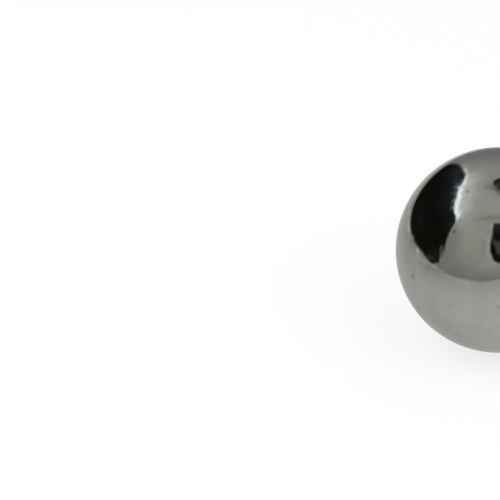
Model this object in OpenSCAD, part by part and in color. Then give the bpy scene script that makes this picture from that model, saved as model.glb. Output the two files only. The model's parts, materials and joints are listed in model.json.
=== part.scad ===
// Loose polished steel ball, of the kind that runs in bearings, detents, tracks
// and games. It is one solid piece: headed from wire, then ground and lapped until
// every point of its skin lies at the same distance from the centre, so it has no
// flat, hole, seam or mark of its own.
// The origin is the centre of the ball and +Z is up. Sizes are in millimetres.

/* [Ball] */
// Nominal diameter of the ball (25.4 is the 1 inch size)
ball_d = 25.4; // [3:0.1:100]

/* [Hidden] */

// Facets round the drawn ball
$fn = 128;

// Bare lapped bearing steel, a warm light grey
steel = [0.60, 0.59, 0.57];

// The ball stands about the origin, and its lowest point is half of ball_d below it
module ball() {
    color(steel)
        sphere(d = ball_d);
}

ball();
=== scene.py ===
# %% [markdown]
# # A polished steel ball
#
# A loose bearing ball is one of the simplest things that a workshop makes and one of the hardest to
# make well. It is one solid piece of steel with one skin, and every point of that skin lies at the
# same distance from the centre. It has no colour of its own to speak of: it is a mirror, so most of
# this lesson is about what stands round it. The order is the camera, the marks on the skin, the
# steel, the ball itself, the floor, the light tent that the steel mirrors, and the lamps.

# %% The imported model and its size
import json
import math

import bpy
import numpy as np
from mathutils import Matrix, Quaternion, Vector


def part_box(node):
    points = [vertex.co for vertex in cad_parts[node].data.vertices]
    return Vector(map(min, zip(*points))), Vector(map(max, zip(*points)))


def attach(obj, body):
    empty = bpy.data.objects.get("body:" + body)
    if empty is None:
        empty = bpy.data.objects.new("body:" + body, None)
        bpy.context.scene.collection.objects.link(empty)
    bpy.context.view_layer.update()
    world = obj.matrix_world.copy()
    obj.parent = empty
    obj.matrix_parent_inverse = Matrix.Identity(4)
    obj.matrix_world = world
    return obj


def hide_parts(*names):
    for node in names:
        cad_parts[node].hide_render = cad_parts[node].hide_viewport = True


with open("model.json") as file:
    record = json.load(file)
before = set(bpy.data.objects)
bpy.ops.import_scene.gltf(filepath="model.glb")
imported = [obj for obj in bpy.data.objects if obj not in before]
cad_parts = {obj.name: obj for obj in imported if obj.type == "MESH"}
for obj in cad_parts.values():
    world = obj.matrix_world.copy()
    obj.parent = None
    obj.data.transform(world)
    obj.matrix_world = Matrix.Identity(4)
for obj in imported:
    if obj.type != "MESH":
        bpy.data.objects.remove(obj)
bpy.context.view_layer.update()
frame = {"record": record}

mm_per_metre = 1000
low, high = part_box("ball")
ball_radius = max(b - a for a, b in zip(low, high)) / 2
print(f"ball: {2 * ball_radius * mm_per_metre:.2f} mm across")

# %% [markdown]
# ## The camera
#
# The camera looks down on the ball from 30 degrees above the floor, and the ball stands so far to
# the right that the edge of the picture cuts it in half. Shifting the lens could do that, but a
# shift would push the ball off centre in every other view too. Turning the camera keeps it simple: a
# long lens looks a little to the left of the ball. How long it is follows from how large the ball
# should be, because a ball of known radius at a known distance fills a known angle.

# %% Where the ball stands in the picture
picture_side_px = 500
ball_centre_px = (498.6, 249.85)
ball_radius_px = 102.80

middle_px = picture_side_px / 2
aside_px = ball_centre_px[0] - middle_px
print(f"picture: the ball's centre is {aside_px:.1f} px to the right of the middle")

# %% The camera's place, lens and turn
camera_distance = 0.40
camera_height_angle = math.radians(30)
film_width = 36.0

towards_camera = Vector((0, -math.cos(camera_height_angle), math.sin(camera_height_angle)))
eye = towards_camera * camera_distance
ball_half_angle = math.asin(ball_radius / camera_distance)
line_of_sight_px = ball_radius_px / math.tan(ball_half_angle)
lens_px = math.sqrt(line_of_sight_px**2 - aside_px**2)
turn_aside = math.atan(aside_px / lens_px)

lens_data = bpy.data.cameras.new("camera")
lens_data.sensor_width = film_width
lens_data.lens = lens_px * film_width / picture_side_px
camera = bpy.data.objects.new("camera", lens_data)
camera.rotation_mode = "QUATERNION"
camera.location = eye
facing_ball = (-towards_camera).to_track_quat("-Z", "Y")
camera.rotation_quaternion = facing_ball @ Quaternion((0, 1, 0), turn_aside)
bpy.context.scene.collection.objects.link(camera)
bpy.context.scene.camera = camera
print(f"camera: {lens_data.lens:.1f} mm lens, turned {math.degrees(turn_aside):.2f} degrees aside")

# %% [markdown]
# ## The marks on the skin
#
# No ball that has been handled is perfect. This one carries a few specks, tiny pits about half a
# millimetre across. They could be dents in the mesh, but a dent that small would need millions of
# faces, so they are painted and sunk by the material. Most can lie anywhere and are left to a random
# pattern. The ones that face the camera have a place, a strength and a size of their own. The
# easiest way to say where they are is by their place in the picture: a straight line from the camera
# through that place meets the ball where the pit is.

# %% From a place in the picture to a point on the ball
def on_ball(place_px):
    """The point of the ball that shows at this place in the picture, in metres."""
    across = (place_px[0] - middle_px) / lens_px
    up = (middle_px - place_px[1]) / lens_px
    ray = (camera.rotation_quaternion @ Vector((across, up, -1))).normalized()
    along = -eye.dot(ray)
    half_chord = math.sqrt(ball_radius**2 - eye.length_squared + along**2)
    return eye + ray * (along - half_chord)


facing_point = on_ball(ball_centre_px)
print(f"the ball's middle in the picture: {[round(c * mm_per_metre, 2) for c in facing_point]} mm")

# %% The specks that face the camera
# Each row is a place in the picture, a strength and a radius in metres.
speck_places = [
    ((467.9, 191.0), 0.85, 0.00060),
    ((454.0, 231.8), 0.80, 0.00055),
    ((413.1, 276.3), 0.82, 0.00075),
    ((498.5, 307.5), 0.68, 0.00058),
    ((434.1, 321.9), 0.50, 0.00050),
    ((486.2, 187.2), 0.40, 0.00050),
    ((448.8, 325.0), 0.45, 0.00080),
    ((448.5, 305.0), 0.25, 0.00050),
    ((481.5, 311.6), 0.28, 0.00070),
    ((443.0, 333.5), 0.30, 0.00040),
]
specks = [(on_ball(place_px), strength, radius) for place_px, strength, radius in speck_places]
print(f"specks with a place of their own: {len(specks)}")

# %% [markdown]
# ## The steel
#
# Lapped bearing steel is bare metal, so the shader is fully metallic and its base colour is simply
# how much light the steel sends back: about six tenths, a little warmer than grey. One flat
# roughness would look like a computer's idea of chrome. Real lapping leaves a faint haze that comes
# and goes, and hair lines that cross at odd angles where the ball rolled between the plates. All of
# it is procedural and reads Object coordinates, which are metres here, so a pattern's scale is the
# number of its features in a metre.

# %% Helpers for wiring nodes
def add_node(tree, kind, inputs=None, **settings):
    """A new node with its settings, and its inputs set to values or linked to other nodes' sockets."""
    node = tree.nodes.new(kind)
    for name, value in settings.items():
        setattr(node, name, value)
    for name, value in (inputs or {}).items():
        if isinstance(value, bpy.types.NodeSocket):
            tree.links.new(value, node.inputs[name])
        else:
            node.inputs[name].default_value = value
    return node


def bare_nodes(owner):
    """The empty node tree of a new material or world."""
    owner.use_nodes = True
    owner.node_tree.nodes.clear()
    return owner.node_tree


steel = bpy.data.materials.new("lapped steel")
steel_nodes = bare_nodes(steel)
place = add_node(steel_nodes, "ShaderNodeTexCoord").outputs["Object"]
print(f"steel: its patterns follow {place.name} coordinates")

# %% Helpers for patterns
def math_node(tree, operation, first, second):
    """The result of one sum on two numbers or sockets."""
    return add_node(tree, "ShaderNodeMath", {0: first, 1: second}, operation=operation).outputs[0]


def spread(tree, value, range_in, range_out):
    """The value moved from one range to another, with soft ends."""
    before = {"From Min": range_in[0], "From Max": range_in[1]}
    after = {"To Min": range_out[0], "To Max": range_out[1]}
    return add_node(
        tree, "ShaderNodeMapRange", {"Value": value, **before, **after}, interpolation_type="SMOOTHSTEP"
    ).outputs["Result"]


def noise(tree, place, per_metre, detail=2.0):
    """Soft noise with this many features in a metre."""
    return add_node(
        tree, "ShaderNodeTexNoise", {"Vector": place, "Scale": per_metre, "Detail": detail}
    ).outputs["Fac"]


haze_per_metre = 150
mottle_per_metre = 1500
mottle_detail = 3.0
haze = noise(steel_nodes, place, haze_per_metre)
mottle = noise(steel_nodes, place, mottle_per_metre, mottle_detail)
print(f"haze: {mm_per_metre / haze_per_metre:.1f} mm wide, mottle: {mm_per_metre / mottle_per_metre:.1f} mm")

# %% Specks: round pits at chosen and at random places
random_specks_per_metre = 400
random_speck_share = 0.05
random_speck_strength = 0.8

pits = 0.0
for point, strength, radius in specks:
    away = add_node(
        steel_nodes, "ShaderNodeVectorMath", {0: place, 1: tuple(point)}, operation="DISTANCE"
    ).outputs["Value"]
    pits = math_node(steel_nodes, "MAXIMUM", spread(steel_nodes, away, (0, radius), (strength, 0)), pits)
cells = add_node(
    steel_nodes, "ShaderNodeTexVoronoi", {"Vector": place, "Scale": random_specks_per_metre}, feature="F1"
).outputs["Distance"]
scattered = spread(steel_nodes, cells, (0, random_speck_share), (random_speck_strength, 0))
pits = math_node(steel_nodes, "MAXIMUM", scattered, pits)
print(f"specks: {len(specks)} placed, the rest about {mm_per_metre / random_specks_per_metre:.1f} mm apart")

# %% Lapping lines: noise stretched along one way, in three turns
line_turns = [(0.3, 0.9, 0.0), (1.4, 0.2, 0.8), (2.3, 2.0, 0.5)]
lines_per_metre = 5200
line_stretch = 0.02
line_patches_per_metre = 170
line_noise = (0.60, 0.72)
patch_noise = (0.45, 0.65)

lines = 0.0
for turn in line_turns:
    turned = add_node(
        steel_nodes,
        "ShaderNodeMapping",
        {"Vector": place, "Rotation": turn, "Scale": (1, line_stretch, 1)},
        vector_type="POINT",
    ).outputs["Vector"]
    hairs = spread(steel_nodes, noise(steel_nodes, turned, lines_per_metre), line_noise, (0, 1))
    patches = noise(steel_nodes, turned, line_patches_per_metre)
    patches = spread(steel_nodes, patches, patch_noise, (0, 1))
    lines = math_node(steel_nodes, "MAXIMUM", math_node(steel_nodes, "MULTIPLY", hairs, patches), lines)
print(f"lapping lines: {len(line_turns)} turns, each {mm_per_metre / lines_per_metre:.2f} mm wide")

# %% How bright the steel is, from place to place
steel_colour = frame["record"]["materials"][0]["base_color"]
usual_noise = (0.3, 0.7)
haze_brightness = (0.975, 1.025)
mottle_brightness = (0.965, 1.035)
line_brightness = 0.97
pit_brightness = 0.64

brightness = math_node(
    steel_nodes,
    "MULTIPLY",
    spread(steel_nodes, haze, usual_noise, haze_brightness),
    spread(steel_nodes, mottle, usual_noise, mottle_brightness),
)
for mask, darkest in ((lines, line_brightness), (pits, pit_brightness)):
    brightness = math_node(
        steel_nodes, "MULTIPLY", brightness, spread(steel_nodes, mask, (0, 1), (1, darkest))
    )
colour = add_node(
    steel_nodes, "ShaderNodeVectorMath", {0: steel_colour, "Scale": brightness}, operation="SCALE"
).outputs["Vector"]
print(f"steel colour: {[round(channel, 2) for channel in steel_colour]}")

# %% How rough and how deep its marks are, and the shader
mirror_roughness = 0.055
haze_roughness = (-0.01, 0.015)
line_roughness = 0.035
pit_roughness = 0.05
pit_depth = 0.000006
line_depth_share = 0.01

roughness = math_node(
    steel_nodes, "ADD", spread(steel_nodes, haze, usual_noise, haze_roughness), mirror_roughness
)
for mask, rougher in ((lines, line_roughness), (pits, pit_roughness)):
    roughness = math_node(steel_nodes, "ADD", roughness, spread(steel_nodes, mask, (0, 1), (0, rougher)))

height = math_node(
    steel_nodes,
    "ADD",
    spread(steel_nodes, pits, (0, 1), (0, -1)),
    spread(steel_nodes, lines, (0, 1), (0, -line_depth_share)),
)
bumped = add_node(
    steel_nodes, "ShaderNodeBump", {"Height": height, "Strength": 1.0, "Distance": pit_depth}
).outputs["Normal"]
steel_shader = add_node(
    steel_nodes,
    "ShaderNodeBsdfPrincipled",
    {"Base Color": colour, "Metallic": 1.0, "Roughness": roughness, "Normal": bumped},
)
add_node(steel_nodes, "ShaderNodeOutputMaterial", {"Surface": steel_shader.outputs["BSDF"]})
print(f"steel: {len(steel_nodes.nodes)} nodes, roughness about {mirror_roughness}")

# %% [markdown]
# ## The ball
#
# Blender's UV sphere bunches its faces at two poles, and in a mirror finish a pole shows as a star.
# The rule used here starts from a cube that reaches from -1 to 1. Its sides are cut into squares, and
# every corner of a square is pushed out along the line from the centre until it is one radius away.
# A plain push would leave the squares small near the cube's corners, so each coordinate is first
# taken as an angle of up to an eighth of a turn and bent with a tangent, which gives equal angles
# between the cuts. Geometry Nodes do this in a few steps, and a change of one input gives a finer or
# a larger ball.

# %% The rule's inputs, and the cube that it starts from
ball_rule = bpy.data.node_groups.new("ball from a cube", "GeometryNodeTree")
sockets = ball_rule.interface
radius_input = sockets.new_socket("Radius", in_out="INPUT", socket_type="NodeSocketFloat")
squares_input = sockets.new_socket("Squares along a side", in_out="INPUT", socket_type="NodeSocketInt")
finish_input = sockets.new_socket("Finish", in_out="INPUT", socket_type="NodeSocketMaterial")
sockets.new_socket("Geometry", in_out="OUTPUT", socket_type="NodeSocketGeometry")

given = add_node(ball_rule, "NodeGroupInput").outputs
corners = math_node(ball_rule, "ADD", given["Squares along a side"], 1.0)
cube = add_node(
    ball_rule,
    "GeometryNodeMeshCube",
    {"Size": (2, 2, 2), "Vertices X": corners, "Vertices Y": corners, "Vertices Z": corners},
).outputs["Mesh"]
print(f"inputs: {[socket.name for socket in (radius_input, squares_input, finish_input)]}")

# %% The push outwards, and the finish
eighth_turn = math.pi / 4


def vector_node(operation, vector, **scale):
    """The result of one step on a vector in the ball's rule."""
    return add_node(
        ball_rule, "ShaderNodeVectorMath", {0: vector, **scale}, operation=operation
    ).outputs[0]


corner_place = add_node(ball_rule, "GeometryNodeInputPosition").outputs[0]
as_angle = vector_node("SCALE", corner_place, Scale=eighth_turn)
outward = vector_node("NORMALIZE", vector_node("TANGENT", as_angle))
skin_place = vector_node("SCALE", outward, Scale=given["Radius"])
pushed = add_node(
    ball_rule, "GeometryNodeSetPosition", {"Geometry": cube, "Position": skin_place}
).outputs[0]
smooth = add_node(ball_rule, "GeometryNodeSetShadeSmooth", {"Geometry": pushed}).outputs[0]
real = add_node(ball_rule, "GeometryNodeRealizeInstances", {"Geometry": smooth}).outputs[0]
finished = add_node(
    ball_rule, "GeometryNodeSetMaterial", {"Geometry": real, "Material": given["Finish"]}
).outputs[0]
add_node(ball_rule, "NodeGroupOutput", {"Geometry": finished})
print(f"{ball_rule.name}: {len(ball_rule.nodes)} nodes")

# %% The rule made into a plain mesh
squares_along_side = 126

pattern = bpy.data.objects.new("ball pattern", bpy.data.meshes.new("ball pattern"))
bpy.context.scene.collection.objects.link(pattern)
rule = pattern.modifiers.new("ball from a cube", "NODES")
rule.node_group = ball_rule
rule[radius_input.identifier] = ball_radius
rule[squares_input.identifier] = squares_along_side
rule[finish_input.identifier] = steel

evaluated = pattern.evaluated_get(bpy.context.evaluated_depsgraph_get())
ball_mesh = bpy.data.meshes.new_from_object(evaluated)
bpy.data.objects.remove(pattern)
steel_ball = bpy.data.objects.new("steel_ball", ball_mesh)
bpy.context.scene.collection.objects.link(steel_ball)
corner_reach = [vertex.co.length * mm_per_metre for vertex in ball_mesh.vertices]
print(f"steel_ball: {len(ball_mesh.polygons)} squares, "
      f"radius {min(corner_reach):.4f} to {max(corner_reach):.4f} mm")

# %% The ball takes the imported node's place
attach(steel_ball, "root")
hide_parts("ball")
print(f"{steel_ball.name}: stands in for the packed ball")

# %% [markdown]
# ## The floor
#
# The ball stands on plain white paper. Pouring light on the paper until it turns white would also
# drown the ball, so the white is in the paper: the camera, and whatever mirrors the paper, see a
# share of it as its own even white, and the rest as real paper in the lamps' light. That second
# share is what keeps the ball's soft shadow.

# %% White paper
even_white = 0.76
lit_share = 0.28
paper_colour = 0.9


def seen_directly(tree):
    """1 for rays from the camera, from a mirror or through glass, and 0 for light that only scatters."""
    path = add_node(tree, "ShaderNodeLightPath").outputs
    shown = math_node(tree, "MAXIMUM", path["Is Camera Ray"], path["Is Glossy Ray"])
    return math_node(tree, "MAXIMUM", shown, path["Is Transmission Ray"])


def grey(level):
    """A neutral colour at this level."""
    return (level, level, level, 1)


paper = bpy.data.materials.new("white paper")
tree = bare_nodes(paper)
own_white = add_node(tree, "ShaderNodeEmission", {"Color": grey(even_white)}).outputs[0]
lit_paper = add_node(tree, "ShaderNodeBsdfDiffuse", {"Color": grey(lit_share)}).outputs[0]
shown_paper = add_node(tree, "ShaderNodeAddShader", {0: own_white, 1: lit_paper}).outputs[0]
plain_paper = add_node(tree, "ShaderNodeBsdfDiffuse", {"Color": grey(paper_colour)}).outputs[0]
surface = add_node(
    tree, "ShaderNodeMixShader", {0: seen_directly(tree), 1: plain_paper, 2: shown_paper}
).outputs[0]
add_node(tree, "ShaderNodeOutputMaterial", {"Surface": surface})
print(f"paper: {even_white} of its white is even, {lit_share} takes light and shadow")

# %% The sheet under the ball
floor_reach = 1.5

floor_mesh = bpy.data.meshes.new("floor")
floor_corners = [
    (x * floor_reach, y * floor_reach, -ball_radius) for x, y in ((-1, -1), (1, -1), (1, 1), (-1, 1))
]
floor_mesh.from_pydata(floor_corners, [], [(0, 1, 2, 3)])
floor_mesh.materials.append(paper)
floor = bpy.data.objects.new("floor", floor_mesh)
bpy.context.scene.collection.objects.link(floor)
print(f"floor: {2 * floor_reach} m square, {ball_radius * mm_per_metre:.1f} mm below the ball's centre")

# %% [markdown]
# ## The light tent
#
# A mirror is drawn by its surroundings. Small shiny things are shown in a light tent: a dome of thin
# white cloth lit from outside, with a doorway, a slit for the camera and a vent. In the ball those
# become the dark shapes and the bright streak that tell the eye it is steel. The tent could be sewn
# from many pieces of cloth, but only its light matters here. So it is one dome of points, and each
# point holds the light that comes from its direction. A direction is given in degrees around, with
# the camera at 0 and the left side below 0, and in degrees up from the level of the ball's centre.
# The light is painted on with a few brushes: soft ones for folds and glows, and cards with a cut
# edge for the dark shapes. A pair of numbers always goes from where a brush is 0 to where it is 1.

# %% Soft brushes
def ramp(value, start, end):
    """0 at start and 1 at end, with soft ends. The end may lie below the start."""
    share = np.clip((value - start) / (end - start), 0, 1)
    return share * share * (3 - 2 * share)


def stretch(value, first_end, last_end):
    """1 along a stretch and 0 past its two soft ends."""
    return ramp(value, *first_end) * ramp(value, *last_end)


def bell(value, middle, width):
    """1 at the middle, falling off on both sides."""
    return np.exp(-(((value - middle) / width) ** 2))


def bells(value, rows):
    """Bells added up. Each row is a strength, a middle and a width."""
    return sum(strength * bell(value, middle, width) for strength, middle, width in rows)


def marks(around, up, rows):
    """Soft round marks added up. Each row is a strength, a middle, and a size across and up."""
    return sum(
        strength * bell(around, middle[0], size[0]) * bell(up, middle[1], size[1])
        for strength, middle, size in rows
    )


print(f"a bell still has {bell(1.0, 0, 1):.2f} of its strength one width from its middle")

# %% Cards with a cut edge
def away_from(around, up, path):
    """How many degrees a direction lies from a path of straight pieces."""
    nearest = np.full(around.shape, np.inf)
    for (x0, y0), (x1, y1) in zip(path, path[1:]):
        dx, dy = x1 - x0, y1 - y0
        along = np.clip(((around - x0) * dx + (up - y0) * dy) / (dx * dx + dy * dy), 0, 1)
        nearest = np.minimum(nearest, np.hypot(around - x0 - along * dx, up - y0 - along * dy))
    return nearest


def depth_inside(around, up, outline):
    """How many degrees a direction lies inside an outline; outside it this is below zero."""
    closed = outline + outline[:1]
    inside = np.zeros(around.shape, bool)
    for (x0, y0), (x1, y1) in zip(closed, closed[1:]):
        if y0 != y1:
            crossed = (y0 > up) != (y1 > up)
            inside ^= crossed & (around < x0 + (x1 - x0) * (up - y0) / (y1 - y0))
    return np.where(inside, 1, -1) * away_from(around, up, closed)


def card(around, up, outline, edge_width):
    """1 on a card with this outline and 0 off it, with an edge this many degrees wide."""
    return ramp(depth_inside(around, up, outline), -edge_width / 2, edge_width / 2)


def mixed(first, second, share):
    """One light, or another, or a mixture of both."""
    return first * (1 - share) + second * share


def laid_over(below, above, share):
    """One colour painted over another, as far as its share goes."""
    return mixed(np.asarray(below), np.asarray(above), share[..., None])


def tinted(light, tint):
    """A light with no colour, given a tint."""
    return light[..., None] * np.asarray(tint)


test_card = [(-10, -10), (10, -10), (10, 10), (-10, 10)]
print(f"5 degrees from a card's edge: {depth_inside(np.array([5.0]), np.array([0.0]), test_card)[0]:.1f}")

# %% [markdown]
# ### The bare cloth
#
# Lit cloth isn't even. It is dim at its foot, where it hangs in its own shade, and brightest towards
# the top, where the lamps stand. The back wall, away from the lamps, is dimmer than the front. Real
# lamps behind a thin mesh would give that too, but slowly and with noise in the mirror. Painted light
# is quick and clean: two walls that melt into each other and into a ceiling say it in a few numbers.
# A sewn seam crosses the front above the camera, high in the middle and lower to the sides.

# %% Two walls and a ceiling
front_wall = {"foot": 0.25, "gain": 0.145, "rise": (-8, 38), "ceiling": 0.415}
front_wall_marks = [(0.065, (10, 13), (30, 10)), (0.025, (44, 50), (12, 12))]
back_wall = {"foot": 0.215, "gain": 0.15, "rise": (6, 62), "ceiling": 0.32}
back_wall_marks = [(0.04, (158, 42), (9, 16))]
towards_back = (110, 178)
towards_ceiling = (60, 74)
top_shade = [(0.030, 90, 4)]
vent_shade = [(0.08, (180, 85), (25, 7))]
door_shade = {"depth": 0.085, "middle": 60, "width": 13, "bottom": (-6, 24), "top": (43, 35)}


def wall_light(side, up, wall, wall_marks):
    """A wall that gains light with height, and the ceiling over it."""
    light = wall["foot"] + wall["gain"] * ramp(up, *wall["rise"]) + marks(side, up, wall_marks)
    return mixed(light, wall["ceiling"], ramp(up, *towards_ceiling))


def plain_cloth_light(side, up):
    """The walls and the ceiling before the seam and the tints."""
    front = wall_light(side, up, front_wall, front_wall_marks)
    beside_door = bell(side, door_shade["middle"], door_shade["width"])
    front -= door_shade["depth"] * beside_door * stretch(up, door_shade["bottom"], door_shade["top"])
    back = wall_light(side, up, back_wall, back_wall_marks)
    light = mixed(front, back, ramp(side, *towards_back))
    return light - marks(side, up, vent_shade) - bells(up, top_shade)


print(f"cloth ahead: {plain_cloth_light(np.array([0.0]), np.array([20.0]))[0]:.2f}, "
      f"behind: {plain_cloth_light(np.array([180.0]), np.array([20.0]))[0]:.2f}")

# %% The seam and the cloth's tints
seam_top = 65.0
seam_drop = 0.0037
seam_shades = [(0.095, 3.8, (62, 12)), (0.03, 1.2, (72, 50))]
cloth_tint = (0.985, 1.0, 0.925)
back_tint = (0.99, 1.0, 0.985)
by_door_tint = (1.01, 1.0, 1.0)
by_door = [(0.9, (-60, 4), (11, 20))]


def cloth_light(around, up):
    """The cloth with its seam, each part in its own tint of white."""
    side = np.abs(around)
    light = plain_cloth_light(side, up)
    seam_height = seam_top - seam_drop * around**2
    for depth, width, fade in seam_shades:
        light -= depth * bell(up, seam_height, width) * ramp(side, *fade)
    tint = laid_over(cloth_tint, back_tint, ramp(side, *towards_back))
    return light[..., None] * laid_over(tint, by_door_tint, marks(around, up, by_door))


seam_drop_at_side = seam_drop * seam_shades[1][2][0] ** 2
print(f"seam: {seam_top:.0f} degrees up in the middle, {seam_drop_at_side:.0f} lower where it ends")

# %% [markdown]
# ### The paper on the tent's floor
#
# The floor fills the lower half of the ball, so it is the largest thing that the steel shows. The
# white sheet under the ball could serve, but a mirror full of one even white looks flat. So the tent
# has a floor of its own, and its light is painted by how far a point lies from the ball, in metres.
# It dips where the ball shades it, rises in a broad ring, and falls off again. Behind the ball the ring is
# brighter to both sides, and darker straight behind. The marks are the painted light and shade of folds in
# the paper, and the light that the doorway and the gap over it throw on its left edge.

# %% Rings on the paper
# Each row is a strength, a distance and a width in metres, and how it comes in around the ball.
all_around = (-1, 0)
ahead = (75, 30)
paper_level = 0.355
paper_rings = [
    (0.125, 0.026, 0.036, all_around),
    (-0.03, 0, 0.012, all_around),
    (0.03, 0.090, 0.030, ahead),
    (0.075, 0.095, 0.045, (112, 145)),
    (0.09, 0.115, 0.050, (140, 162)),
    (-0.20, 0.080, 0.040, (171, 179)),
]
ahead_gain = 0.075
ahead_rise = (0, 0.02)
camera_streak = {"gain": 0.03, "width": 6, "rise": (0.110, 0.150)}


def ringed_paper_light(around, reach):
    """The rings round the ball, and the light that lies ahead of it."""
    side = np.abs(around)
    light = paper_level + ahead_gain * ramp(reach, *ahead_rise) * ramp(side, *ahead)
    for strength, distance, width, comes_in in paper_rings:
        light += strength * bell(reach, distance, width) * ramp(side, *comes_in)
    streak = camera_streak["gain"] * bell(around, 0, camera_streak["width"])
    return light + streak * ramp(reach, *camera_streak["rise"])


print(f"paper 30 mm ahead of the ball: {ringed_paper_light(np.array([0.0]), np.array([0.03]))[0]:.2f}")

# %% Painted light and shade of folds, and thrown light, on the paper
# Each row is a strength, a middle and a size, both in degrees around and metres out.
paper_marks = [
    (0.04, (0, 0.014), (22, 0.009)),
    (-0.035, (-72, 0.095), (14, 0.030)),
    (-0.035, (72, 0.095), (14, 0.030)),
    (0.075, (-166, 0.122), (5, 0.045)),
    (0.05, (-160, 0.152), (4, 0.014)),
    (0.04, (-153, 0.128), (3.5, 0.028)),
    (0.06, (-152, 0.050), (8, 0.012)),
    (0.02, (-134, 0.060), (12, 0.012)),
    (-0.05, (-142, 0.135), (2.5, 0.030)),
    (0.10, (-138, 0.118), (3, 0.020)),
    (0.22, (-125, 0.142), (5, 0.032)),
    (0.03, (-112, 0.078), (10, 0.022)),
    (-0.07, (-109, 0.150), (3, 0.025)),
    (0.33, (-98, 0.146), (3, 0.016)),
    (-0.04, (-103, 0.125), (2.5, 0.020)),
    (-0.03, (-102, 0.045), (8, 0.012)),
    (0.06, (-94, 0.110), (3.5, 0.045)),
    (-0.03, (-88, 0.165), (4, 0.020)),
    (0.07, (-86, 0.104), (4, 0.014)),
    (0.10, (-82, 0.126), (3, 0.020)),
    (0.05, (-76, 0.140), (4, 0.016)),
    (0.26, (-70.5, 0.160), (2.5, 0.012)),
    (0.03, (-98, 0.075), (8, 0.022)),
    (0.03, (-88, 0.059), (7, 0.012)),
    (0.035, (-78, 0.020), (8, 0.016)),
    (0.055, (-53, 0.112), (4, 0.022)),
    (0.032, (-43, 0.132), (6, 0.030)),
    (0.030, (-31, 0.088), (7, 0.018)),
    (-0.020, (-44, 0.035), (9, 0.025)),
    (-0.028, (-18, 0.055), (6, 0.018)),
]
paper_tint = (1.0, 1.0, 0.975)
far_tint = (1.0, 1.005, 0.90)
far_from = (0.09, 0.14)
by_sill_tint = (0.995, 1.01, 0.86)
by_sill = {"reach": (0.07, 0.11), "middle": -131, "width": 15}


def paper_light(around, reach):
    """The light of the tent's floor, by how far it lies from the ball, in metres."""
    light = ringed_paper_light(around, reach) + marks(around, reach, paper_marks)
    tint = laid_over(paper_tint, far_tint, ramp(reach, *far_from))
    near_sill = ramp(reach, *by_sill["reach"]) * bell(around, by_sill["middle"], by_sill["width"])
    return light[..., None] * laid_over(tint, by_sill_tint, near_sill)


print(f"paper: {len(paper_rings)} rings and {len(paper_marks)} marks")

# %% [markdown]
# ### The doorway
#
# The tent is open on its left side, and what shows there is a dark room. That is the large black
# shape on the ball, and its outline does most to make the steel believable, because the eye reads the
# curve of the ball from how straight edges bend. It could be a hole in the dome with a dark box
# behind it. A card needs no box, and its edge can be as soft as cloth is. A rectangle would bend too
# evenly, because real cloth sags between its ties. So the outline is a walk round the opening, and the
# cloth at its edge gets a lit hem, a few loose threads at the top, and a fold that hangs in at the
# front corner.

# %% The opening and the dark room behind it
door_outline = [
    (-162.7, 5), (-161.0, 12), (-158.3, 23), (-153.7, 33), (-148.2, 42.5), (-144, 45.1), (-140, 47.3),
    (-136, 48.1), (-131.5, 48.9), (-129.5, 48.3), (-127.8, 46.4), (-125, 47.8), (-121, 49.4),
    (-114, 49.8), (-110.5, 50.4), (-106, 49.1), (-102, 48.3), (-98, 48.3), (-94, 46.9), (-90, 46.5),
    (-77, 45.4), (-70.7, 42.2), (-68.4, 34), (-65.3, 22), (-63.5, 15.5), (-66.3, 11.5), (-65.7, 2.4),
    (-66.7, 0.2), (-68.4, -0.8), (-70.2, -1.9), (-72, -3.4), (-74, -4.4), (-76.5, -4.9), (-83, -3.1),
    (-90, -2.1), (-95, -2.0), (-104, -2.9), (-120, -3.0), (-132, -2.35), (-142, -1.4), (-149, 0.1),
    (-157, 1.5), (-161.2, 1.7),
]
room_light = np.array([0.0060, 0.0072, 0.0050])
room_grey = (0.80, 1.0, 0.86)
room_blue = (0.58, 1.0, 1.15)
turns_blue = (-158, -142)
room_glows = [
    (0.013, (-118, 44), (34, 9)),
    (0.022, (-152, 37), (10, 9)),
    (0.010, (-74, 37), (6, 6)),
    (0.010, (-153, 26), (8, 9)),
    (0.022, (-137.5, 41), (5, 4)),
    (0.004, (-116, 9), (14, 5)),
]
foot_glows = [
    (0.036, (-79.3, -0.7), (3.2, 2.2)),
    (0.010, (-73, 5), (5, 4)),
    (0.028, (-74.8, 0.5), (2.2, 1.1)),
]


def dark_room(around, up):
    """The light of the room: nearly none, with a glow under the doorway's top and at its foot."""
    glow_tint = laid_over(room_grey, room_blue, ramp(around, *turns_blue))
    glow = marks(around, up, room_glows)[..., None] * glow_tint
    return room_light + glow + marks(around, up, foot_glows)[..., None]


door_around, door_up = zip(*door_outline)
print(f"doorway: {max(door_around) - min(door_around):.0f} degrees wide, "
      f"{max(door_up) - min(door_up):.0f} degrees high")

# %% The hem and the loose threads
hem_level = 0.04
hem_glow = [(0.06, (-122, -4), (14, 6))]
hem_line = [(1.0, -1.6, 1.6)]
hem_stretch = ((-158, -145), (-68, -80))
hem_shade = [(0.03, (-66.5, 38.5), (2.5, 5))]
frayed_stretch = ((-142, -137), (-89, -94))
frayed_height = (30, 38)
fringe_line = [(1.0, -0.9, 1.6)]
fringe_tint = (-0.05, -0.01, 0.02)
thread_line = [(0.085, 1.8, 1.7)]
thread_spacing = 1.9
thread_contrast = 0.5
loose_threads = [(0.12, (-132.8, 44.0), (1.6, 1.5)), (0.04, (-119, 43.6), (2, 1.6))]
thread_tint = (0.72, 1.0, 1.38)


def frayed(around, up):
    """1 along the frayed top edge of the doorway."""
    return stretch(around, *frayed_stretch) * ramp(up, *frayed_height)


def hem_on(light, around, up, inside):
    """The lit hem round the doorway, on the cloth beside the opening."""
    light = light * (1 + tinted(frayed(around, up) * bells(inside, fringe_line), fringe_tint))
    hem = (hem_level + marks(around, up, hem_glow)) * bells(inside, hem_line)
    hem *= stretch(around, *hem_stretch)
    return light + (hem - marks(around, up, hem_shade))[..., None]


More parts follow.
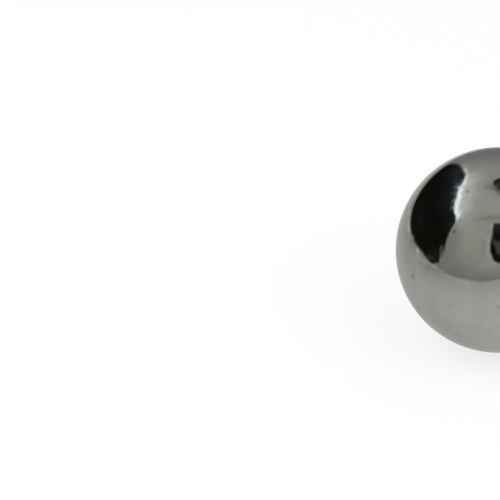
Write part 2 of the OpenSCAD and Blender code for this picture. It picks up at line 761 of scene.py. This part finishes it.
def threads(around, up, inside):
    """Threads that catch the lamp's light as they hang into the opening."""
    row = 1 + thread_contrast * np.sin(around / thread_spacing)
    hanging = frayed(around, up) * row * bells(inside, thread_line)
    return tinted(hanging + marks(around, up, loose_threads), thread_tint)


print(f"hem: from {hem_stretch[0][0]} to {hem_stretch[1][0]} degrees around")

# %% The fold at the front corner, and the whole doorway
door_fold = [(-70.2, 15.8), (-68, 17), (-65.5, 16.4), (-62.5, 14), (-62.5, 8.5), (-66.5, 6.5), (-69.3, 9.5)]
# The flap's light is painted, and the crease is painted shade on it.
fold_level = 0.045
fold_gain = 0.10
fold_rise = (-70, -62)
fold_glow = [(0.05, (-69, 13.8), (1.6, 2.8))]
fold_crease = [(0.40, (-65.4, 14.6), (1.5, 2.6))]
fold_tint = (1, 1, 0.94)
fold_share = 0.85
fold_edge = 3
door_edge = 1.4
door_blur = [(0.7, (-67, 24), (5, 11))]


def fold_on(light, around, up):
    """The painted light of the flap of cloth that hangs into the doorway at its front corner, with painted
    shade along its crease.
    """
    fold = fold_level + fold_gain * ramp(around, *fold_rise) + marks(around, up, fold_glow)
    fold *= 1 - marks(around, up, fold_crease)
    return laid_over(light, tinted(fold, fold_tint), fold_share * card(around, up, door_fold, fold_edge))


def doorway_on(light, around, up):
    """The opening with its hem, threads and fold, cut into the tent's light."""
    inside = depth_inside(around, up, door_outline)
    light = hem_on(light, around, up, inside)
    edge = door_edge + marks(around, up, door_blur)
    room = dark_room(around, up) + threads(around, up, inside)
    return fold_on(laid_over(light, room, ramp(inside, -edge, edge)), around, up)


darkest = doorway_on(np.ones((1, 3)), np.array([-120.0]), np.array([25.0]))[0]
print(f"middle of the doorway: {[round(float(channel), 3) for channel in darkest]}")

# %% [markdown]
# ### The gap over the doorway
#
# The cloth hangs a little short over the doorway, and a lamp stands behind it. Its bare light comes
# through as the bright streak beside the black shape, the strongest light in the whole tent. It could
# be a card as well, but a band of even width looks like a drawn line. So it is a brush stroke along a
# path: it is pinched where the cloth is tied, its edge is ruffled, and a weaker halo and glow lie on
# the cloth round it.

# %% The glow on the cloth
lamp_glow = 0.235
glow_stretch = ((-168, -134), (-52, -84))
glow_bottom = (38, 50)
glow_top = (69, 55)
top_bulge = [(10, -108, 22)]
top_lift = 2
top_lifts = (-130, -100)
glow_marks = [
    (0.035, (-116, 60), (11, 5)),
    (0.028, (-60, 58), (15, 12)),
    (0.12, (-96, 54.6), (5, 1.6)),
    (0.22, (-79, 51.8), (4.5, 1.8)),
    (-0.10, (-66, 46.8), (2.5, 1.4)),
]
glow_tint = (0.95, 1.0, 0.98)


def glow_over_door(around, up):
    """The light that the lamp spreads over the cloth above the doorway."""
    none = glow_top[0] + bells(around, top_bulge)
    full = glow_top[1] + top_lift * ramp(around, *top_lifts)
    glow = lamp_glow * stretch(around, *glow_stretch) * stretch(up, glow_bottom, (none, full))
    return tinted(glow + marks(around, up, glow_marks), glow_tint)


over_door = glow_over_door(np.array([-110.0]), np.array([53.0]))[0]
print(f"glow over the doorway: {over_door[1]:.2f}")

# %% The stroke of bare lamp light
lamp_gap = [
    (-160, 22), (-156, 31), (-151, 40.2), (-146, 45.6), (-138, 49.5), (-134, 50.7), (-131, 51.6),
    (-128, 52.4), (-124.5, 51.6), (-120, 52.1), (-116, 52.2), (-110, 52.8), (-105, 53), (-97, 51.4),
    (-85, 48.4), (-76, 47.5), (-70, 45.2), (-64, 43.6),
]
lamp_light = (1.29, 1.43, 1.54)
ruffles = [(0.4, 2.3), (0.3, 0.9)]
halo_line = [(0.13, 0, 6.0)]
halo_stretch = ((-160, -130), (-64, -76))
halo_tint = (0.80, 1.0, 0.96)
gap_level = 0.31
gap_gain = 0.69
gap_opens = (-151, -119)
gap_pinches = [
    (-0.44, -127.5, 3.6),
    (0.12, -133, 2.2),
    (-0.05, -146, 3),
    (-0.12, -137.5, 2.0),
    (-0.24, -78, 3),
]
gap_closes = (-69, -76)
gap_foot_share = 0.25
gap_foot = (27, 36)
stroke_width = 2.1
stroke_pinch = [(0.6, -131, 5)]


def lamp_gap_on(light, around, up):
    """The glow, a halo, and the strip of bare lamp light itself."""
    light = light + glow_over_door(around, up)
    ruffled = up + sum(height * np.sin(around / spacing) for height, spacing in ruffles)
    from_gap = away_from(around, ruffled, lamp_gap)
    halo = bells(from_gap, halo_line) * stretch(around, *halo_stretch)
    light = light + tinted(halo, halo_tint)
    open_share = gap_level + gap_gain * ramp(around, *gap_opens) + bells(around, gap_pinches)
    open_share *= ramp(around, *gap_closes) * mixed(gap_foot_share, 1, ramp(up, *gap_foot))
    stroke = bell(from_gap, 0, stroke_width - bells(around, stroke_pinch))
    return laid_over(light, lamp_light, open_share * stroke)


bare_lamp = lamp_gap_on(np.zeros((1, 3)), np.array([-110.0]), np.array([52.8]))[0]
print(f"lamp gap: {[round(float(channel), 2) for channel in bare_lamp]} at its brightest")

# %% [markdown]
# ### The camera, the vent and a panel of light
#
# A camera has to look in somewhere, so every ball in a tent mirrors the camera: a black body with a
# greyer lens, in the slit straight ahead. High up at the back is a vent with a flap of cloth over
# it. The ball shows them so small that a model of either would be wasted. Both are cards, drawn for
# one side and mirrored to the other. On the right, a lamp behind the cloth makes a bright panel, which
# gives that half of the ball a highlight of its own.

# %% The outlines of the cards
camera_body = [
    (-20, 59.4), (7.9, 58.6), (9.9, 55.6), (9.9, 48), (10, 43.5), (10.9, 40.5), (11.0, 37), (11.0, 34.5),
    (10.6, 32), (10.4, 28.5), (8.5, 24.8), (5.4, 18.2), (0, 15.8), (-20, 15.8),
]
camera_lens = [(-20, 38.5), (2, 39), (6, 40.5), (7.5, 37.5), (4.5, 34), (3, 28.2), (1.5, 25.9), (-20, 24.9)]
vent_outline = [
    (200, 65.4), (180, 65.6), (173.5, 67.4), (168.4, 69.6), (164.6, 72), (164.6, 74.2), (167.4, 76.4),
    (169.8, 78.4), (171.5, 80.8), (174.5, 83.8), (200, 85.5),
]
vent_flap = [(172, 86), (160, 84), (140, 79), (134, 74), (145, 72.5), (158, 72), (170, 76)]
side_panel = [(62, 12), (60, 34), (66, 50), (114, 50), (120, 34), (118, 12)]
outlines = (camera_body, camera_lens, vent_outline, vent_flap, side_panel)
print(f"cards: {len(outlines)}, with {[len(outline) for outline in outlines]} corners")

# %% The camera in its slit
slit_rims = [
    (0.11, (13, 30.5), (2.2, 6)),
    (0.07, (14.5, 41), (2, 4)),
    (0.07, (13.5, 54.5), (2.2, 3)),
    (-0.05, (18.5, 32), (2.6, 8)),
    (0.075, (5.6, 15.8), (3.5, 1.9)),
    (0.045, (10.4, 23), (1.8, 3)),
]
body_light = np.array([0.003, 0.003, 0.002])
body_gain = 0.022
body_rise = (36, 58)
body_glints = [(0.050, (9.2, 42), (1.5, 5)), (0.008, (0, 22.5), (5, 2))]
lens_light = (0.068, 0.068, 0.062)
body_edge = 3.4
lens_edge = 4


def camera_on(light, side, up):
    """The slit's lit rims, the camera's body and its lens."""
    light = light + marks(side, up, slit_rims)[..., None]
    body = body_light + (body_gain * ramp(up, *body_rise) + marks(side, up, body_glints))[..., None]
    light = laid_over(light, body, card(side, up, camera_body, body_edge))
    return laid_over(light, lens_light, card(side, up, camera_lens, lens_edge))


print(f"camera: lens at {lens_light[0]}, body at {body_light[0]}")

# %% The vent and the panel
flap_shade = 0.26
flap_edge = 6
# Painted shade: more under the flap near the vent, a little less beside it.
flap_marks = [(0.28, (163, 77.6), (7, 3.4)), (-0.08, (149, 75.5), (4, 2.2))]
vent_light = np.array([0.018, 0.019, 0.014])
vent_gain = 0.06
vent_rise = (68, 83)
vent_edge = 3
panel_light = (0.86, 0.87, 0.86)
panel_edge = 8


def fittings_on(light, around, up):
    """The camera straight ahead, the vent behind and above, and the panel on the right."""
    side = np.abs(around)
    light = camera_on(light, side, up)
    flap = flap_shade * card(side, up, vent_flap, flap_edge) + marks(side, up, flap_marks)
    light = light * (1 - flap)[..., None]
    vent = vent_light + (vent_gain * ramp(up, *vent_rise))[..., None]
    light = laid_over(light, vent, card(side, up, vent_outline, vent_edge))
    return laid_over(light, panel_light, card(around, up, side_panel, panel_edge))


print(f"panel on the right: {panel_light[0]}, vent: {vent_light[0]}")

# %% [markdown]
# ### The whole tent
#
# The cloth ends in a curtain a little below the level of the ball's centre, and the floor begins
# there. Seen in the ball, that is the long curved line between the darker wall and the paler paper.
# The foot isn't level, because the curtain was hung by hand: it is given every few degrees. Small
# glints lie where the lamp catches its lower edge.

# %% The foot of the curtain, and the light from any direction
# Degrees to the side, and how many degrees up the foot is there.
curtain_foot = {
    0: -1.6, 8: -3.3, 13: -4.3, 20: -5.2, 30: -5.1, 42: -5.7, 54: -5.9, 60: -4.8, 66: -4.4,
    135: -4.4, 155: -4.1, 166: -4.1, 174: -4.8, 180: -5.4,
}
foot_shade = 0.04
foot_shade_rise = 1
foot_shade_width = 2.5
foot_edge = 1.4
foot_glints = [
    (0.20, (-96.8, -4.2), (2.2, 1.2)),
    (0.12, (-71.5, -4.1), (2.2, 1.0)),
    (0.09, (-109.8, -1.9), (2.6, 1.2)),
    (0.020, (-28, 0), (9, 4)),
    (0.03, (-125, -4.7), (4, 0.7)),
    (0.045, (-150, -4.6), (5, 0.8)),
    (-0.04, (-64.5, 0), (2, 2.2)),
]
floor_looks = (2.2, 89.9)


def tent_light(around, up):
    """The light from any direction: the walls down to their foot, and the floor below it."""
    foot = np.interp(np.abs(around), list(curtain_foot), list(curtain_foot.values()))
    walls = lamp_gap_on(cloth_light(around, up), around, up)
    walls = fittings_on(doorway_on(walls, around, up), around, up)
    walls = walls * (1 - foot_shade * bell(up, foot + foot_shade_rise, foot_shade_width))[..., None]
    looking_down = np.radians(np.clip(-up, *floor_looks))
    paper_below = paper_light(around, ball_radius / np.tan(looking_down))
    light = laid_over(walls, paper_below, ramp(foot - up, -foot_edge, foot_edge))
    return light + marks(around, up, foot_glints)[..., None]


compass = tent_light(np.array([0.0, 90.0, 180.0, -90.0]), np.full(4, 20.0)).mean(axis=1)
for name, level in zip(("ahead (camera)", "right (panel)", "behind (cloth)", "left (doorway)"), compass):
    print(f"tent, 20 degrees up, {name}: {level:.2f}")

# %% [markdown]
# ### The dome and its floor
#
# The painted light needs something to sit on. A world could hold it, but a world is endlessly far
# away, and the tent's floor lies close under the ball, where a mirror shows it in another place. So
# the walls are a dome and the floor is a disc just above the paper. Both are grids of points, and
# each point's colour is the light that comes from it. The disc's rings lie closer together towards
# the ball, where the mirror shows them largest. The camera and the lamps' light pass through both
# sheets: only mirrors see them. They light nothing else, so they aren't sampled as lamps.

# %% A sheet of painted points
tent_cloth = bpy.data.materials.new("tent cloth")
tent_cloth.cycles.emission_sampling = "NONE"
tree = bare_nodes(tent_cloth)
painted = add_node(tree, "ShaderNodeAttribute", attribute_name="light").outputs["Color"]
glowing = add_node(tree, "ShaderNodeEmission", {"Color": painted}).outputs[0]
add_node(tree, "ShaderNodeOutputMaterial", {"Surface": glowing})


def painted_sheet(name, around, level_reach, height, light):
    """A sheet through a grid of places, lit point by point, that only mirrors see."""
    turn = np.radians(around)
    places = np.stack([level_reach * np.sin(turn), -level_reach * np.cos(turn), height], axis=-1)
    rows, columns = around.shape
    corner = np.arange(rows * columns).reshape(rows, columns)
    squares = np.stack([corner[:-1, :-1], corner[1:, :-1], corner[1:, 1:], corner[:-1, 1:]], axis=-1)
    mesh = bpy.data.meshes.new(name)
    mesh.from_pydata(places.reshape(-1, 3).tolist(), [], squares.reshape(-1, 4).tolist())
    colours = np.ones((rows * columns, 4), np.float32)
    colours[:, :3] = light.reshape(-1, 3)
    mesh.color_attributes.new("light", "FLOAT_COLOR", "POINT").data.foreach_set("color", colours.ravel())
    mesh.materials.append(tent_cloth)
    sheet = bpy.data.objects.new(name, mesh)
    bpy.context.scene.collection.objects.link(sheet)
    for kind in ("camera", "diffuse", "transmission", "volume_scatter", "shadow"):
        setattr(sheet, f"visible_{kind}", False)
    print(f"{name}: {rows} by {columns} points of light")


print(f"{tent_cloth.name}: {len(tree.nodes)} nodes, and its glow is the light painted on the points")

# %% The dome, and the disc that closes it below
tent_radius = 0.165
degrees_per_point = 0.5
just_above = 0.00005
disc_rings = 160
smallest_ring = 0.002

foot_angle = math.degrees(math.asin(-ball_radius / tent_radius))
turns = np.linspace(-180, 180, round(360 / degrees_per_point) + 1)
rises = np.linspace(foot_angle, 90, round((90 - foot_angle) / degrees_per_point) + 1)
around, up = np.meshgrid(turns, rises)
rise = np.radians(up)
painted_sheet(
    "tent_dome", around, tent_radius * np.cos(rise), tent_radius * np.sin(rise), tent_light(around, up)
)

disc_radius = math.sqrt(tent_radius**2 - ball_radius**2)
steps_out = np.linspace(smallest_ring, 1, disc_rings) ** 2 * disc_radius
around, reach = np.meshgrid(turns, steps_out)
disc_height = np.full(reach.shape, just_above - ball_radius)
disc_light = tent_light(around, -np.degrees(np.arctan(ball_radius / reach)))
painted_sheet("tent_floor", around, reach, disc_height, disc_light)

# %% [markdown]
# ## Lamps and world
#
# The tent lights only the mirror. The paper under the ball needs light as well, or there would be no
# shadow. Two large, soft lamps and an even world share it at a plain level, at which a matt surface
# would show its own colour. The lamps are hidden from mirrors, because the tent already says what
# the steel sees.

# %% Two soft lamps
lamp_side = 0.40
lamps = [("lamp_left", (-0.30, -0.15, 0.45), 1.0), ("lamp_right", (0.30, -0.25, 0.40), 0.6)]

for name, lamp_place, watts in lamps:
    lamp_data = bpy.data.lights.new(name, "AREA")
    lamp_data.shape = "SQUARE"
    lamp_data.size = lamp_side
    lamp_data.energy = watts
    lamp = bpy.data.objects.new(name, lamp_data)
    lamp.location = lamp_place
    lamp.rotation_mode = "QUATERNION"
    lamp.rotation_quaternion = (-Vector(lamp_place)).to_track_quat("-Z", "Y")
    lamp.visible_glossy = False
    bpy.context.scene.collection.objects.link(lamp)
    print(f"{name}: {watts} W, {Vector(lamp_place).length:.2f} m from the ball")

# %% An even white world
world_light = 0.55

world = bpy.data.worlds.new("studio")
bpy.context.scene.world = world
tree = bare_nodes(world)
strength = spread(tree, seen_directly(tree), (0, 1), (world_light, 1))
background = add_node(
    tree, "ShaderNodeBackground", {"Color": grey(1.0), "Strength": strength}
).outputs[0]
add_node(tree, "ShaderNodeOutputWorld", {"Surface": background})
print(f"world: {world_light} for scattered light, 1 where it is seen")

# %% [markdown]
# ## Finishing
#
# The picture is shown with the Standard view, so that a colour comes out as it is written.

# %% The view
bpy.context.scene.view_settings.view_transform = "Standard"

bpy.context.view_layer.update()
